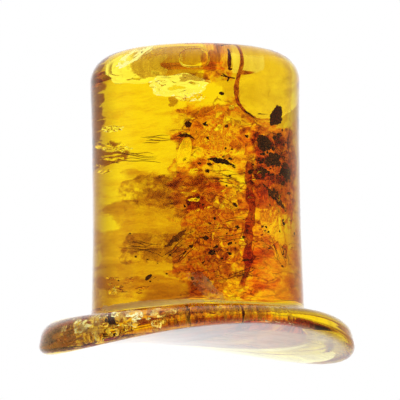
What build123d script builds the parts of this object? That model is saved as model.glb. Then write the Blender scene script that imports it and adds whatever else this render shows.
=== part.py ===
# A lip plug carved from one piece of clear golden amber, in the form of a small top hat: a tall,
# slightly waisted crown on an oval brim. The brim's underside is hollowed along its length, so
# the carving stands on the two ends of the brim. Bits of bark, wood, leaf and dust were caught
# in the resin. Each one is a solid of its own, and lies in a cavity of its own shape.
#
# Millimetres. +Z runs up the crown, +X along the brim. The origin is under the crown's axis, at
# the height of the brim's lowest points.
from build123d import *
from math import cos, pi, radians, sin, sqrt
import os

# ---- driving dimensions ---------------------------------------------------------------------
CROWN_HEIGHT = 20.9          # from the brim's top surface to the crown's flat top
CROWN_RADIUS_FOOT = 8.3
CROWN_RADIUS_WAIST = 8.1
CROWN_RADIUS_TOP = 8.25
SHOULDER_RADIUS = 2.0        # the worn edge round the flat top
CROWN_FOOT_FILLET = 0.5

BRIM_LENGTH = 26.2           # the oval outline at the brim's foot, before its edge is rounded
BRIM_WIDTH = 20.8
BRIM_WALL_LEAN = 0.22        # the edge leans in by this much for each millimetre up
BRIM_THICKNESS = 1.4         # under the crown's axis, where the brim is thinnest
BRIM_TOP = 2.81              # the crown's foot, above the surface that the brim's ends stand on
BRIM_TOP_ROUNDING = 0.85
BRIM_FOOT_ROUNDING = 0.6
TOP_CURL_RADIUS = 65.0       # the brim's sides curl up: its top surface, across the brim
BASE_CURL_RADIUS = 83.0      # the same curl on the underside
BASE_ARCH_RADIUS = 54.0      # the hollow along the underside

BEST_SIDE = -30.8            # the side that shows the inclusions best, in degrees round from -Y
CROWN_TOP = BRIM_TOP + CROWN_HEIGHT
BASE_TOP = BRIM_TOP - BRIM_THICKNESS          # crest of the hollow, under the crown's axis


def arch_drop(radius, reach):
    """How far an arc of this radius has moved away from its tangent at this reach."""
    return radius - sqrt(radius ** 2 - reach ** 2)


os.makedirs("parts", exist_ok=True)
inclusions = []


def facing(side, depth, height, tilt=0.0):
    """An upright plane seen flat from the best side. side is to the right of the crown's axis,
    depth is behind it, and a positive tilt turns the plane's own X towards the top."""
    turn = radians(BEST_SIDE)
    lean = radians(tilt)
    to_right = Vector(cos(turn), sin(turn), 0)
    away = Vector(-sin(turn), cos(turn), 0)
    up = Vector(0, 0, 1)
    centre = to_right * side + away * depth + up * height
    return Plane(origin=centre, x_dir=to_right * cos(lean) + up * sin(lean), z_dir=away * -1)


def keep(piece, label):
    """Name a finished piece, write it, and remember the inclusions for the body's cavities."""
    piece.part.label = label
    export_step(piece.part, f"parts/{label}.step")
    if label != "amber_body":
        inclusions.append(piece.part)


def broken_outline(width, height, corners, phase):
    """Corner points round an oval, pulled in and out unevenly like a broken edge."""
    points = []
    for corner in range(corners):
        angle = 2 * pi * corner / corners
        reach = 0.86 + 0.14 * sin(2.4 * corner + phase)
        points.append((width / 2 * reach * cos(angle), height / 2 * reach * sin(angle)))
    return points


# ---- inclusions: shapes ---------------------------------------------------------------------
def chip(label, plane, width, height, thickness, corners=8, phase=0.0):
    """A broken chip: thick in the middle and thin at its uneven edge."""
    with BuildPart() as piece:
        with BuildSketch(plane):
            with BuildLine():
                Polyline(broken_outline(width, height, corners, phase), close=True)
            make_face()
        extrude(amount=thickness / 2, both=True, taper=20)
    keep(piece, label)


def splinter(label, plane, length, width, thickness, bend=0.0):
    """A sliver pointed at both ends, bent by that much at its middle."""
    with BuildPart() as piece:
        with BuildSketch(plane):
            with BuildLine():
                ThreePointArc((-length / 2, 0), (0, bend + width / 2), (length / 2, 0))
                ThreePointArc((length / 2, 0), (0, bend - width / 2), (-length / 2, 0))
            make_face()
        extrude(amount=thickness / 2, both=True)
    keep(piece, label)


def dust_sheet(label, side, depth, height, width, tall, bow, thickness=0.3, corners=9, phase=0.0):
    """A thin bowed sheet of dust between two flows of resin, with a ragged outline."""
    with BuildPart() as piece:
        level = Plane(origin=(0, 0, height), x_dir=facing(0, 0, 0).x_dir, z_dir=(0, 0, 1))
        with BuildSketch(level):
            with BuildLine():
                ThreePointArc((side - width, depth), (side, depth + bow), (side + width, depth))
            trace(line_width=thickness)
        extrude(amount=tall, both=True)
        with BuildSketch(facing(side, depth, height)):
            with BuildLine():
                Polyline(broken_outline(width, tall, corners, phase), close=True)
            make_face()
        extrude(amount=CROWN_HEIGHT, both=True, mode=Mode.INTERSECT)
    keep(piece, label)


# ---- inclusions: bark, wood and leaf --------------------------------------------------------
chip("bark_chip", facing(5.2, -2.3, 18.4, 62), 1.45, 0.8, 0.55, corners=9, phase=0.4)
chip("bark_crumb_left", facing(4.0, -1.7, 16.3, 15), 0.95, 1.2, 0.7, phase=1.9)
chip("bark_crumb_lower", facing(4.7, -1.4, 15.1, 40), 1.0, 0.95, 0.6, corners=7, phase=3.1)
chip("bark_crumb_right", facing(5.2, -0.6, 14.1, -20), 0.9, 1.0, 0.5, phase=4.4)
chip("bark_crumb_small", facing(3.85, -1.3, 14.2), 0.5, 0.45, 0.35, corners=6, phase=5.0)
chip("wood_flake", facing(0.0, -1.6, 11.6, 25), 0.85, 1.5, 0.25, corners=10, phase=2.2)
chip("seed_husk", facing(-3.2, -4.2, 5.8, 45), 0.36, 0.36, 0.2, corners=4, phase=0.9)

splinter("bark_splinter", facing(4.6, -1.0, 12.2, -52), 2.7, 0.42, 0.3, bend=0.08)
splinter("bark_shred", facing(1.5, -2.3, 14.7, -18), 1.8, 0.5, 0.3, bend=0.12)
splinter("twig_splinter", facing(-1.3, -3.2, 8.8, 47), 2.0, 0.4, 0.3, bend=-0.1)
splinter("brown_sliver", facing(2.1, -2.2, 22.4, 80), 0.95, 0.24, 0.15, bend=0.06)
splinter("leaf_curl", facing(-0.6, -3.6, 16.5, -14), 1.25, 0.3, 0.5, bend=0.22)

# A wisp of fibre, twisted into a hook.
with BuildPart() as twisted_fibre:
    with BuildSketch(facing(2.1, -2.2, 21.3)):
        with BuildLine():
            Polyline((-0.2, -0.22), (-0.1, 0.05), (-0.2, 0.14), (0.24, 0.02))
        trace(line_width=0.09)
    extrude(amount=0.06, both=True)
keep(twisted_fibre, "twisted_fibre")

# Three fine hairs in a loose fan. Each is (height of its foot, height of its rise, radius).
HAIR_SPAN = 2.5
with BuildPart() as plant_hairs:
    for foot, rise, thickness in ((7.7, 0.55, 0.05), (8.15, 0.35, 0.04), (8.6, 0.2, 0.045)):
        with BuildLine(facing(-3.4, -3.4, foot)) as route:
            ThreePointArc((-HAIR_SPAN / 2, 0), (0, rise), (HAIR_SPAN / 2, 0))
        with BuildSketch(Plane(origin=route.line @ 0, z_dir=route.line % 0)):
            Circle(thickness)
        sweep(path=route.line)
keep(plant_hairs, "plant_hairs")

# Specks of dirt, each at its own side, depth and height, and of its own size.
SPECKS = (
    (0.6, -4.6, 8.7, 0.34), (-0.35, -3.9, 8.1, 0.26), (2.8, -2.7, 8.9, 0.24), (2.4, -2.9, 11.3, 0.22),
    (2.4, -2.5, 9.7, 0.28), (-0.4, -1.6, 17.8, 0.40), (0.6, -1.9, 17.8, 0.26), (1.9, -3.0, 17.5, 0.24),
    (1.5, -1.5, 20.2, 0.30), (-0.3, -3.3, 5.7, 0.26), (6.5, -1.4, 9.4, 0.22), (0.1, -2.5, 12.0, 0.20),
)
with BuildPart() as dirt_specks:
    for number, (side, depth, height, size) in enumerate(SPECKS):
        with BuildSketch(facing(side, depth, height, 30 * number)):
            with BuildLine():
                Polyline(broken_outline(size, 1.2 * size, 6, number), close=True)
            make_face()
        extrude(amount=0.3 * size, both=True, taper=15)
keep(dirt_specks, "dirt_specks")

# ---- inclusions: dust between the flows of resin --------------------------------------------
# The seam stands on edge, so from the best side it is a wavy dark line up the crown.
with BuildPart() as dust_seam:
    with BuildSketch(facing(2.9, -0.7, 0)):
        with BuildLine():
            Spline((-0.1, 4.9), (0.1, 6.2), (-0.25, 7.8), (0.05, 10.0), (0.1, 12.0), (-0.05, 13.8), (0.1, 15.2))
        trace(line_width=0.3)
    extrude(amount=1.3, both=True)
keep(dust_seam, "dust_seam")

dust_sheet("dust_veil_upper", 1.0, 0.2, 17.4, 2.6, 3.1, bow=0.5, phase=0.3)
dust_sheet("dust_veil_lower", 1.2, -0.2, 10.2, 2.2, 4.4, bow=-0.4, phase=1.4)
dust_sheet("dust_veil_right", 3.9, 1.8, 9.4, 2.1, 5.2, bow=0.3, phase=2.5)
dust_sheet("dust_veil_foot", 0.1, 0.9, 6.4, 4.2, 2.0, bow=0.4, phase=3.6)
dust_sheet("dust_cloud_left", -2.6, -0.4, 12.5, 1.7, 2.3, bow=0.2, thickness=0.5, phase=4.7)
dust_sheet("dust_cloud_middle", -0.7, 0.9, 13.1, 1.8, 2.0, bow=0.2, thickness=0.5, phase=5.8)
dust_sheet("clay_film", -2.1, -1.6, 22.1, 2.7, 1.3, bow=0.2, thickness=0.25, phase=0.9)
dust_sheet("bark_skin_upper", -4.0, 3.2, 20.6, 1.5, 2.4, bow=0.2, phase=2.0)
dust_sheet("bark_skin_middle", -4.2, 2.4, 16.6, 2.0, 2.2, bow=0.2, phase=3.1)

# ---- inclusions: dirt in the brim -----------------------------------------------------------
splinter("brim_dirt_left", facing(-6.4, -6.2, 1.7, 4), 1.8, 0.3, 0.5)
splinter("brim_dirt_middle", facing(-0.8, -8.4, 2.2, 88), 0.95, 0.4, 0.3)
splinter("brim_dirt_right", facing(3.2, -8.3, 2.6, 92), 1.0, 0.28, 0.3)

# ---- the amber ------------------------------------------------------------------------------
ROUND_BUBBLE_RADIUS = 0.88
PIN_BUBBLE_RADIUS = 0.18
TEAR_BUBBLE_RADIUS = 0.38
TEAR_BUBBLE_LENGTH = 1.9


def curled_block(curl_radius, crest, far_side):
    """Outline across the brim: an arc that curls up at both sides, closed at a far height."""
    reach = BRIM_WIDTH / 2 + 1
    side_height = crest + arch_drop(curl_radius, reach)
    with BuildSketch(Plane.YZ) as block:
        with BuildLine():
            arc = ThreePointArc((-reach, side_height), (0, crest), (reach, side_height))
            Polyline(arc @ 1, (reach, far_side), (-reach, far_side), arc @ 0)
        make_face()
    return block.sketch


def oval(height):
    """The brim's outline at this height. Its edge leans in towards the top."""
    lean = BRIM_WALL_LEAN * height
    with BuildSketch(Plane.XY.offset(height)) as outline:
        Ellipse(BRIM_LENGTH / 2 - lean, BRIM_WIDTH / 2 - lean)
    return outline.sketch


def is_crown_foot(edge):
    """Whether an edge lies where the crown meets the brim."""
    start = edge @ 0
    out = sqrt(start.X ** 2 + start.Y ** 2)
    return abs(start.Z - BRIM_TOP) < 1 and abs(out - CROWN_RADIUS_FOOT) < 0.1


with BuildPart() as amber_body:
    # The underside: a curl across the brim, swept along the arch that hollows its length.
    arch_axis = Axis((0, 0, BASE_TOP - BASE_ARCH_RADIUS), (0, 1, 0))
    base_block = curled_block(BASE_CURL_RADIUS, BASE_TOP, far_side=BRIM_TOP + 3)
    for axis in (arch_axis, arch_axis.reverse()):
        revolve(base_block, axis=axis, revolution_arc=18)

    # The top surface curls up across the brim too, and is straight along it.
    top_block = curled_block(TOP_CURL_RADIUS, BRIM_TOP, far_side=-3)
    extrude(top_block, amount=BRIM_LENGTH, both=True, mode=Mode.INTERSECT)

    # The oval outline, and a worn edge.
    loft([oval(-2), oval(5)], mode=Mode.INTERSECT)
    fillet(amber_body.faces().sort_by(Axis.Z)[0].edges(), BRIM_FOOT_ROUNDING)
    fillet(amber_body.faces().sort_by(Axis.Z)[-1].edges(), BRIM_TOP_ROUNDING)

    # The crown, from inside the brim up, with a waist.
    with BuildSketch(Plane.XZ):
        with BuildLine():
            waist_height = BRIM_TOP + CROWN_HEIGHT / 2
            side = ThreePointArc(
                (CROWN_RADIUS_FOOT, BRIM_TOP - BRIM_THICKNESS / 2),
                (CROWN_RADIUS_WAIST, waist_height),
                (CROWN_RADIUS_TOP, CROWN_TOP),
            )
            Polyline(side @ 1, (0, CROWN_TOP), (0, BRIM_TOP - BRIM_THICKNESS / 2), side @ 0)
        make_face()
    revolve(axis=Axis.Z)
    fillet(amber_body.faces().sort_by(Axis.Z)[-1].edges(), SHOULDER_RADIUS)
    fillet(amber_body.edges().filter_by(is_crown_foot), CROWN_FOOT_FILLET)

    # A cavity for each inclusion, and the bubbles, which are holes in the amber.
    add(inclusions, mode=Mode.SUBTRACT)
    with Locations(facing(0.1, -3.3, 22.2)):
        Sphere(ROUND_BUBBLE_RADIUS, mode=Mode.SUBTRACT)
    with Locations(facing(2.25, -3.4, 18.9)):
        Sphere(PIN_BUBBLE_RADIUS, mode=Mode.SUBTRACT)
    tear_plane = facing(-0.65, -3.5, 15.0)
    with BuildSketch(tear_plane):
        with BuildLine():
            foot, tip = (0, -TEAR_BUBBLE_LENGTH / 2), (0, TEAR_BUBBLE_LENGTH / 2)
            belly = ThreePointArc(foot, (TEAR_BUBBLE_RADIUS, -0.2 * TEAR_BUBBLE_LENGTH), tip)
            Line(belly @ 1, belly @ 0)
        make_face()
    revolve(axis=Axis(tear_plane.origin, tear_plane.y_dir), mode=Mode.SUBTRACT)
keep(amber_body, "amber_body")
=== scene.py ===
# A lip plug of clear golden amber in the form of a small top hat, with the bark, wood, dust and
# bubbles that the resin caught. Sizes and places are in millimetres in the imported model's frame,
# and become metres where a mesh is made.
from random import Random
from math import atan2, copysign, cos, hypot, pi, radians, sin, sqrt, tan

import bmesh
import bpy
from mathutils import Matrix, Vector, noise


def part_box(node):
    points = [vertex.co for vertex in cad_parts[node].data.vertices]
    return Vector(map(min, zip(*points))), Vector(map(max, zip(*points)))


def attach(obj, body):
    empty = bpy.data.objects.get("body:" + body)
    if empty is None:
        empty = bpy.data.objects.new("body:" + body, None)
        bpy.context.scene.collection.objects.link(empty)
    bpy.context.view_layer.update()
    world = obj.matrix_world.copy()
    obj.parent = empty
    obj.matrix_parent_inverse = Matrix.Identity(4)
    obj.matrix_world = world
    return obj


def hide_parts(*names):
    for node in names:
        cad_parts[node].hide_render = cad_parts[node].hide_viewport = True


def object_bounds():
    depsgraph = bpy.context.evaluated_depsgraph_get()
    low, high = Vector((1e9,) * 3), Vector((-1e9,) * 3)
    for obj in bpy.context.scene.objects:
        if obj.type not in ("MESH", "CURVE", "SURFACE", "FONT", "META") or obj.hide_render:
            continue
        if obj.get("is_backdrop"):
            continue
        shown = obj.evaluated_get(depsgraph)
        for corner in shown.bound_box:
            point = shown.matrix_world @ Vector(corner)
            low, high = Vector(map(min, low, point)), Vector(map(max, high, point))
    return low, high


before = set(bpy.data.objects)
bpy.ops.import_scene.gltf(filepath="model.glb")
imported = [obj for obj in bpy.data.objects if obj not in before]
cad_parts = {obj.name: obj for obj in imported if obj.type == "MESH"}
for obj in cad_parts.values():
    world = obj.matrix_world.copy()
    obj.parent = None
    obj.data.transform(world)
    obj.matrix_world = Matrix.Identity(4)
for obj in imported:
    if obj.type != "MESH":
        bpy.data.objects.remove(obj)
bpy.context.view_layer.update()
scene = bpy.context.scene

MM = 0.001


def frame_box(node):
    """(lowest corner, highest corner) of a CAD node, in millimetres."""
    low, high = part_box(node)
    return low / MM, high / MM


def frame_centre(node):
    low, high = frame_box(node)
    return (low + high) / 2


# ---- driving dimensions ----
BODY_HIGH = frame_box("amber_body")[1]
CROWN_TOP = BODY_HIGH.z
CROWN_HEIGHT = 20.9
BRIM_TOP = CROWN_TOP - CROWN_HEIGHT
BRIM_THICKNESS = 1.4
BASE_TOP = BRIM_TOP - BRIM_THICKNESS
CROWN_RADIUS_FOOT = 8.3
CROWN_RADIUS_WAIST = 8.1
CROWN_RADIUS_TOP = 8.25
SHOULDER_RADIUS = 2.0
CROWN_FOOT_FILLET = 0.95  # at its widest, towards the brim's tips
FILLET_ROOM = 0.84  # of the flat part of the brim's top, where that is narrow
OVAL_HALF_LENGTH = BODY_HIGH.x + 0.145  # the oval at z = 0, before its edge is rounded
OVAL_HALF_WIDTH = BODY_HIGH.y + 0.571
WALL_LEAN = 0.22
BRIM_TOP_ROUNDING = 0.85
BRIM_TIP_ROUNDING = 1.8  # the top edge is rounder at the brim's two tips
BRIM_FOOT_ROUNDING = 0.6
TOP_CURL_RADIUS = 65.0
BASE_CURL_RADIUS = 83.0
BASE_ARCH_RADIUS = 54.0

BEST_SIDE = radians(-30.8)  # the side that shows the inclusions best
TO_RIGHT = Vector((cos(BEST_SIDE), sin(BEST_SIDE), 0))
AWAY = Vector((-sin(BEST_SIDE), cos(BEST_SIDE), 0))
UP = Vector((0, 0, 1))
WHITE = (1, 1, 1, 1)


def place(side, depth, height):
    """A point seen from the best side: to the right of the crown's axis, behind it, and up."""
    return TO_RIGHT * side + AWAY * depth + UP * height


def rough(point, size, seed=0.0):
    """Fractal noise, about -1 to 1, with features of this size in millimetres."""
    return noise.fractal(point / size + Vector((seed, 1.7 * seed, -seed)), 1.0, 2.0, 4)


def smooth(low, high, value):
    share = min(1.0, max(0.0, (value - low) / (high - low)))
    return share * share * (3 - 2 * share)


# ---- meshes ----
SHARP_EDGE = radians(75)  # a gap's rim is sharper than this, and isn't smoothed


def make_piece(name, points, faces, material, replaced=(), cover=None):
    """A smooth mesh piece that rides on the body, from points in millimetres. cover says, point by
    point, how much dust a sheet holds."""
    mesh = bpy.data.meshes.new(name)
    mesh.from_pydata([Vector(p) * MM for p in points], [], faces)
    if cover:
        amounts = mesh.attributes.new("cover", "FLOAT", "POINT")
        amounts.data.foreach_set("value", cover)
    mesh.polygons.foreach_set("use_smooth", [True] * len(mesh.polygons))
    mesh.set_sharp_from_angle(angle=SHARP_EDGE)
    mesh.materials.append(material)
    piece = bpy.data.objects.new(name, mesh)
    scene.collection.objects.link(piece)
    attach(piece, "root")
    if replaced:
        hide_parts(*replaced)
    return piece


def add_shape(points, faces, more):
    """Adds another shape's points and faces to these."""
    start = len(points)
    points += more[0]
    faces += [tuple(start + i for i in face) for face in more[1]]


def grid_faces(columns, rows):
    """The faces between the points of a grid, which run row by row."""
    starts = [row * (columns + 1) + column for row in range(rows) for column in range(columns)]
    return [(a, a + 1, a + columns + 2, a + columns + 1) for a in starts]


def rod_faces(rings, spokes):
    """The faces of a rod made of rings of points, with its two ends closed."""
    last = (rings - 1) * spokes
    faces = [tuple(reversed(range(spokes))), tuple(range(last, last + spokes))]
    for start in range(0, last, spokes):
        for spoke in range(spokes):
            a, b = start + spoke, start + (spoke + 1) % spokes
            faces.append((a, b, b + spokes, a + spokes))
    return faces


# ---- node helpers ----
def node(tree, kind, inputs=None, out=0, **settings):
    """Adds a shader node, and returns the output of this name or number, if it has one. An input
    is linked where it is given another node's output, and set where it is given a value."""
    made = tree.nodes.new("ShaderNode" + kind)
    for name, setting in settings.items():
        setattr(made, name, setting)
    for name, value in (inputs or {}).items():
        if isinstance(value, bpy.types.NodeSocket):
            tree.links.new(value, made.inputs[name])
        else:
            made.inputs[name].default_value = value
    return made.outputs[out] if made.outputs else None


def new_material(name):
    material = bpy.data.materials.new(name)
    material.use_nodes = True
    material.node_tree.nodes.clear()
    return material, material.node_tree


def grey(value):
    return (value, value, value)


def ramp(tree, socket, *stops):
    """A colour ramp through stops, each a position and a colour or a grey level."""
    made = tree.nodes.new("ShaderNodeValToRGB")
    tree.links.new(socket, made.inputs["Fac"])
    elements = made.color_ramp.elements
    while len(elements) < len(stops):
        elements.new(0.5)
    for element, (position, colour) in zip(elements, stops):
        element.position = position
        element.color = (*(colour if isinstance(colour, tuple) else grey(colour)), 1)
    return made.outputs["Color"]


def wandering_coords(tree, warp_size, warp_amount, coords=None):
    """Object coordinates in metres, pushed about by noise so that bands swirl like flowing resin."""
    coords = coords or node(tree, "TexCoord", out="Object")
    scale = 1 / (warp_size * MM)
    push = node(tree, "TexNoise", {"Vector": coords, "Scale": scale, "Detail": 3.0}, "Color")
    centred = node(tree, "VectorMath", {0: push, 1: grey(0.5)}, operation="SUBTRACT")
    scaled = node(tree, "VectorMath", {0: centred, "Scale": warp_amount * MM}, operation="SCALE")
    return node(tree, "VectorMath", {0: coords, 1: scaled}, operation="ADD")


def noise_fac(tree, coords, size, detail, roughness=0.55):
    inputs = {"Vector": coords, "Scale": 1 / (size * MM), "Detail": detail, "Roughness": roughness}
    return node(tree, "TexNoise", inputs, "Fac")


def maths(tree, operation, first, second=0.0):
    """A calculation whose answer is kept between 0 and 1."""
    return node(tree, "Math", {0: first, 1: second}, operation=operation, use_clamp=True)


def multiply(tree, first, second):
    mix = {"data_type": "RGBA", "blend_type": "MULTIPLY"}
    return node(tree, "Mix", {0: 1.0, 6: first, 7: second}, 2, **mix)


def tinted(tree, share, tint, plain=WHITE):
    """The plain colour turned into the tint by this share."""
    return node(tree, "Mix", {0: share, 6: plain, 7: tint}, 2, data_type="RGBA")


# ---- materials ----
AMBER_IOR = 1.54
GOLDEN = (0.992, 0.938, 0.02, 1)
THREAD_COLOUR = (0.3, 0.08, 0.006, 1)
DUST_COLOUR = (0.9, 0.5, 0.06, 1)


def glass(name, ior, roughness=0.0, golden=0.0):
    """Clear resin, with golden absorption of this density inside. The IOR of a flow or a bubble
    is relative to the amber round it."""
    material, tree = new_material(name)
    clear = {"Base Color": WHITE, "Roughness": roughness, "IOR": ior, "Transmission Weight": 1.0}
    ends = {"Surface": node(tree, "BsdfPrincipled", clear)}
    if golden:
        ends["Volume"] = node(tree, "VolumeAbsorption", {"Color": GOLDEN, "Density": golden})
    node(tree, "OutputMaterial", ends)
    return material


def dust_pattern(tree, warp_size, warp, stretch, size, roughness, clouds, strength=1.0):
    """A sheet's coordinates, its cover, and how dense its clouds are at each point."""
    flow = wandering_coords(tree, warp_size, warp)
    coords = node(tree, "Mapping", {"Vector": flow, "Scale": stretch})
    cover = node(tree, "Attribute", out="Fac", attribute_name="cover")
    pattern = noise_fac(tree, coords, size, 6.0, roughness)
    cloud = ramp(tree, pattern, (clouds[0], 0), (clouds[1], strength))
    return coords, cover, maths(tree, "MULTIPLY", cloud, cover)


def haze(name, colour, size, stretch, strength, clouds):
    """Fine dust or wear, and on the foot, tip and base sheets painted sheen: pale streaks that scatter
    light and hide a share of what is behind them.
    """
    material, tree = new_material(name)
    _, _, amount = dust_pattern(tree, 1.5, 0.4, stretch, size, 0.65, clouds, strength)
    near = node(tree, "BsdfDiffuse", {"Color": (*colour, 1)})
    through = node(tree, "BsdfTranslucent", {"Color": (*colour, 1)})
    pale = node(tree, "MixShader", {0: 0.5, 1: near, 2: through})
    clear = node(tree, "BsdfTransparent")
    surface = node(tree, "MixShader", {0: amount, 1: clear, 2: pale})
    node(tree, "OutputMaterial", {"Surface": surface})
    return material


def veil(name, tones, size, clouds, stretch=(1, 1, 1), warp=1.2, lines=0.0, line_size=1.0, scatter=0.0):
    """A sheet that tints what is behind it, in clouds: dust between two flows of resin, and painted shade
    on the shade sheets.
    tones are (position, tint) stops from thin to thick dust, lines is the strength of fine dark
    threads, and scatter the share of light that the dust spreads."""
    material, tree = new_material(name)
    coords, cover, amount = dust_pattern(tree, 2.0 * size, warp, stretch, size, 0.62, clouds)
    tone = ramp(tree, noise_fac(tree, coords, 0.5 * size, 8.0, 0.7), *tones)
    colour = tinted(tree, amount, tone)
    if lines:
        curled = wandering_coords(tree, 0.5 * line_size, 0.5 * line_size, coords)
        inputs = {"Vector": curled, "Scale": 1 / (line_size * MM)}
        cells = node(tree, "TexVoronoi", inputs, "Distance", feature="DISTANCE_TO_EDGE")
        wall = ramp(tree, cells, (0.0, 1), (0.09, 0))
        patches = noise_fac(tree, coords, 1.3 * line_size, 3.0)
        patchy = ramp(tree, patches, (0.46, 0), (0.6, lines))
        threaded = maths(tree, "MULTIPLY", maths(tree, "MULTIPLY", wall, patchy), cover)
        colour = tinted(tree, threaded, THREAD_COLOUR, colour)
    surface = node(tree, "BsdfTransparent", {"Color": colour})
    if scatter:
        dust = node(tree, "BsdfTranslucent", {"Color": DUST_COLOUR})
        share = maths(tree, "MULTIPLY", amount, scatter)
        surface = node(tree, "MixShader", {0: share, 1: surface, 2: dust})
    node(tree, "OutputMaterial", {"Surface": surface})
    return material


def bark(name, dark, light, size=0.35):
    """Weathered plant matter: fibres and pits in two tones, with a rough bumpy surface."""
    material, tree = new_material(name)
    coords = wandering_coords(tree, 0.8, 0.25)
    stretched = node(tree, "Mapping", {"Vector": coords, "Scale": (1.0, 1.0, 0.35)})
    fibres = noise_fac(tree, stretched, size, 8.0, 0.7)
    surface = node(tree, "BsdfPrincipled", {
        "Base Color": ramp(tree, fibres, (0.36, dark), (0.62, light)),
        "Roughness": ramp(tree, fibres, (0.3, 0.85), (0.7, 0.5)),
        "Normal": node(tree, "Bump", {"Height": fibres, "Strength": 0.6, "Distance": 0.05 * MM}),
        "IOR": 1.4,
        "Specular IOR Level": 0.1,
    })
    node(tree, "OutputMaterial", {"Surface": surface})
    return material


AMBER = glass("amber", AMBER_IOR, 0.015, 420.0)
FLOW_GLASS = glass("resin_flow", 1.12)
CLEAR_DROP = glass("resin_drop", 1.05)
BUBBLE_WATER = glass("bubble_water", 1.12)
DARK_BARK = bark("dark_bark", (0.02, 0.005, 0.001), (0.22, 0.06, 0.006))
BROWN_WOOD = bark("brown_wood", (0.1, 0.03, 0.004), (0.5, 0.18, 0.02), 0.25)
HAIR = bark("plant_hair", (0.12, 0.03, 0.004), (0.4, 0.12, 0.015), 0.2)

# The tints of the dust, and of the painted shade, as (position, tint) stops from thin to thick dust.
ORANGE_TONES = (
    (0.35, (1.0, 0.94, 0.7)), (0.43, (1.0, 0.8, 0.2)), (0.5, (0.95, 0.56, 0.08)),
    (0.57, (0.72, 0.33, 0.02)), (0.67, (0.26, 0.08, 0.005)),
)
BROWN_TONES = (
    (0.32, (1.0, 0.78, 0.3)), (0.42, (0.9, 0.5, 0.08)), (0.5, (0.66, 0.26, 0.03)),
    (0.6, (0.34, 0.1, 0.01)), (0.7, (0.1, 0.025, 0.004)),
)
WARM_TONES = ((0.38, (1.0, 0.9, 0.5)), (0.5, (0.97, 0.66, 0.18)), (0.64, (0.75, 0.35, 0.05)))
OLIVE_TONES = ((0.35, (0.9, 0.76, 0.4)), (0.5, (0.66, 0.47, 0.18)), (0.65, (0.38, 0.22, 0.06)))
SHADE_TONES = ((0.35, (0.85, 0.66, 0.26)), (0.65, (0.6, 0.37, 0.08)))
LEMON_TONES = ((0.38, (1.0, 0.99, 0.9)), (0.5, (0.96, 0.9, 0.6)), (0.64, (0.86, 0.7, 0.3)))
PALE_TONES = ((0.38, (0.88, 0.74, 0.5)), (0.62, (0.72, 0.55, 0.35)))
CLAY_TONES = ((0.35, (0.7, 0.5, 0.35)), (0.65, (0.5, 0.32, 0.22)))
SKIN_TONES = ((0.35, (0.5, 0.28, 0.12)), (0.65, (0.3, 0.13, 0.06)))
UMBER_TONES = ((0.34, (0.8, 0.42, 0.08)), (0.47, (0.42, 0.14, 0.015)), (0.58, (0.12, 0.03, 0.003)))
SEAM_TONES = ((0.35, (0.75, 0.33, 0.05)), (0.5, (0.45, 0.13, 0.01)), (0.62, (0.2, 0.05, 0.004)))
BRIM_TONES = ((0.38, (1.0, 0.9, 0.45)), (0.5, (0.78, 0.46, 0.1)), (0.62, (0.3, 0.11, 0.02)))
GOLD_TONES = ((0.38, (1.0, 0.92, 0.6)), (0.52, (0.9, 0.68, 0.28)), (0.66, (0.5, 0.26, 0.07)))

# Each veil: its tints, the size of its clouds, and the noise range over which a cloud sets in.
ORANGE_VEIL = veil("orange_veil", ORANGE_TONES, 1.5, (0.4, 0.55), lines=0.9, line_size=0.9, scatter=0.05)
ORANGE_SWIRL = veil("orange_swirl", ORANGE_TONES, 1.1, (0.38, 0.5), warp=2.0, lines=1.0, line_size=0.75)
WARM_VEIL = veil("warm_veil", WARM_TONES, 2.0, (0.2, 0.4), lines=0.5, line_size=1.3)
BROWN_VEIL = veil("brown_veil", BROWN_TONES, 1.6, (0.2, 0.4), (1, 1, 0.6), lines=0.9, line_size=0.8)
# Painted shade: a lemon-tinted sheet that darkens the amber on the crown's left.
LEMON_SHADE = veil("lemon_shade", LEMON_TONES, 2.5, (0.1, 0.3), (1, 1, 2.2), 1.6)
OLIVE_CLOUD = veil("olive_cloud", OLIVE_TONES, 1.2, (0.38, 0.5))
AMBER_SHADE = veil("amber_shade", SHADE_TONES, 4.0, (0.1, 0.4), (1, 1, 2))
# Painted shade: a pale sheet that dims the clear amber at the crown's upper right.
PALE_SHADE = veil("pale_shade", PALE_TONES, 3.0, (0.0, 0.25), (1, 1, 1.5))
# Clay film, and painted shadow: the brown patches under and below the gold-leaf gap use it too.
CLAY_AND_SHADOW = veil("clay", CLAY_TONES, 0.8, (0.2, 0.4))
BARK_SKIN = veil("bark_skin", SKIN_TONES, 0.7, (0.4, 0.46), (1, 1, 2.2))
UMBER_DUST = veil("umber_dust", UMBER_TONES, 0.9, (0.46, 0.56))
SEAM_DUST = veil("seam_dust", SEAM_TONES, 0.8, (0.1, 0.3))
BRIM_SHADE = veil("brim_shade", BRIM_TONES, 0.8, (0.05, 0.2), (1, 1, 0.12), 0.5)
BRIM_GOLD = veil("brim_gold", GOLD_TONES, 0.8, (0.1, 0.3), (1, 1, 0.5), 1.0)

# Each haze: its colour, the size and stretch of its streaks, its strength, and that noise range.
SCUFF = haze("scuff", (0.95, 0.74, 0.66), 0.9, (1, 1, 0.6), 0.55, (0.36, 0.66))
# Painted sheen: a pale lavender band that stands for the light mirrored by the crown's foot.
FOOT_SHEEN = haze("painted_foot_sheen", (1.0, 0.8, 0.8), 2.5, (1, 1, 3), 0.7, (0.1, 0.5))
WING_HAZE = haze("wing_haze", (1.0, 0.66, 0.02), 0.9, (1, 1, 0.3), 0.4, (0.45, 0.62))
STREAK_HAZE = haze("streak_haze", (1.0, 0.58, 0.04), 0.45, (1, 1, 0.12), 0.7, (0.48, 0.6))
# Painted sheen: a lavender-brown haze that stands for the reflection on the brim's rounded tip.
TIP_SHEEN = haze("painted_tip_sheen", (0.75, 0.45, 0.25), 1.2, (1, 1, 2), 0.55, (0.25, 0.6))
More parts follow.
